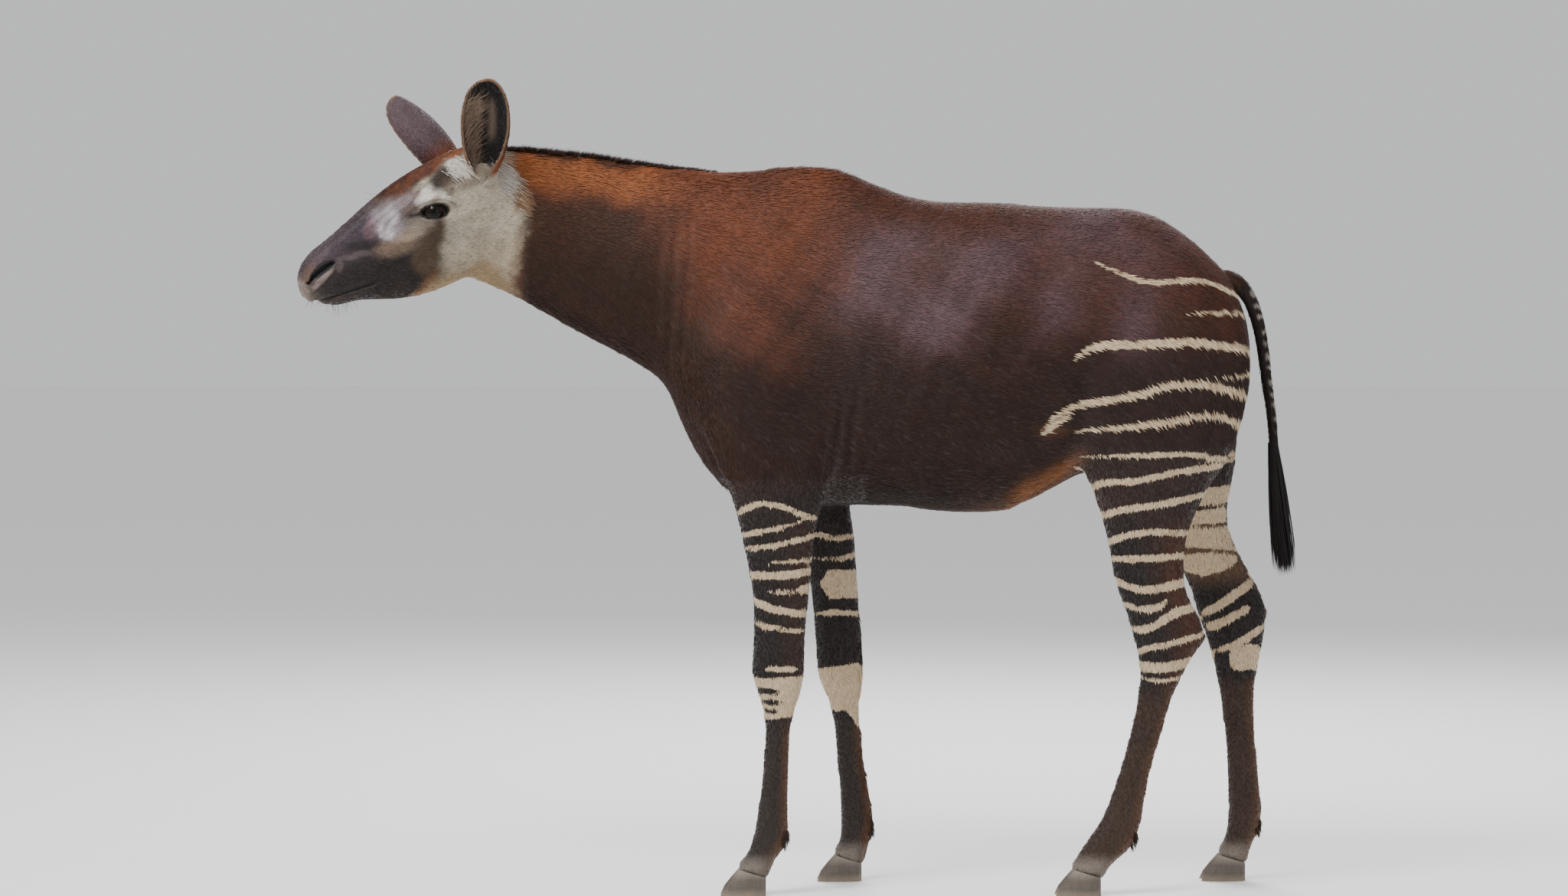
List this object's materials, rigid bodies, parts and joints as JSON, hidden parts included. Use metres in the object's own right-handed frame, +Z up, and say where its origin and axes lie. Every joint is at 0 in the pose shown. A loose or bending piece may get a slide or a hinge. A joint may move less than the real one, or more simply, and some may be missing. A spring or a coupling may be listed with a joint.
{
  "type": "okapi",
  "caption": "Life-size still model of a standing okapi with striped legs, large cupped ears, a low neck mane and a tufted tail.",
  "frame": {"origin": "on the floor, under the middle of the bounding box", "axes": "+Z up, +X from the nose to the tail, -Y towards the animal's left side"},
  "size_m": [2.0426, 0.4604, 1.6635],
  "materials": {
    "coat": "short glossy chestnut fur with cream bands on the legs",
    "long_hair": "coarse black hair",
    "horn": "worn grey-brown horn",
    "eye": "wet, almost black"
  },
  "bodies": {
    "root": {"torso": "coat", "neck": "coat", "head": "coat", "ear_left": "coat", "ear_right": "coat", "eye_left": "eye", "eye_right": "eye", "tail": "coat", "tail_tuft": "long_hair", "leg_fore_left": "coat", "leg_fore_right": "coat", "leg_hind_left": "coat", "leg_hind_right": "coat", "hoof_fore_left_outer": "horn", "hoof_fore_left_inner": "horn", "hoof_fore_right_outer": "horn", "hoof_fore_right_inner": "horn", "hoof_hind_left_outer": "horn", "hoof_hind_left_inner": "horn", "hoof_hind_right_outer": "horn", "hoof_hind_right_inner": "horn"}
  },
  "joints": []
}
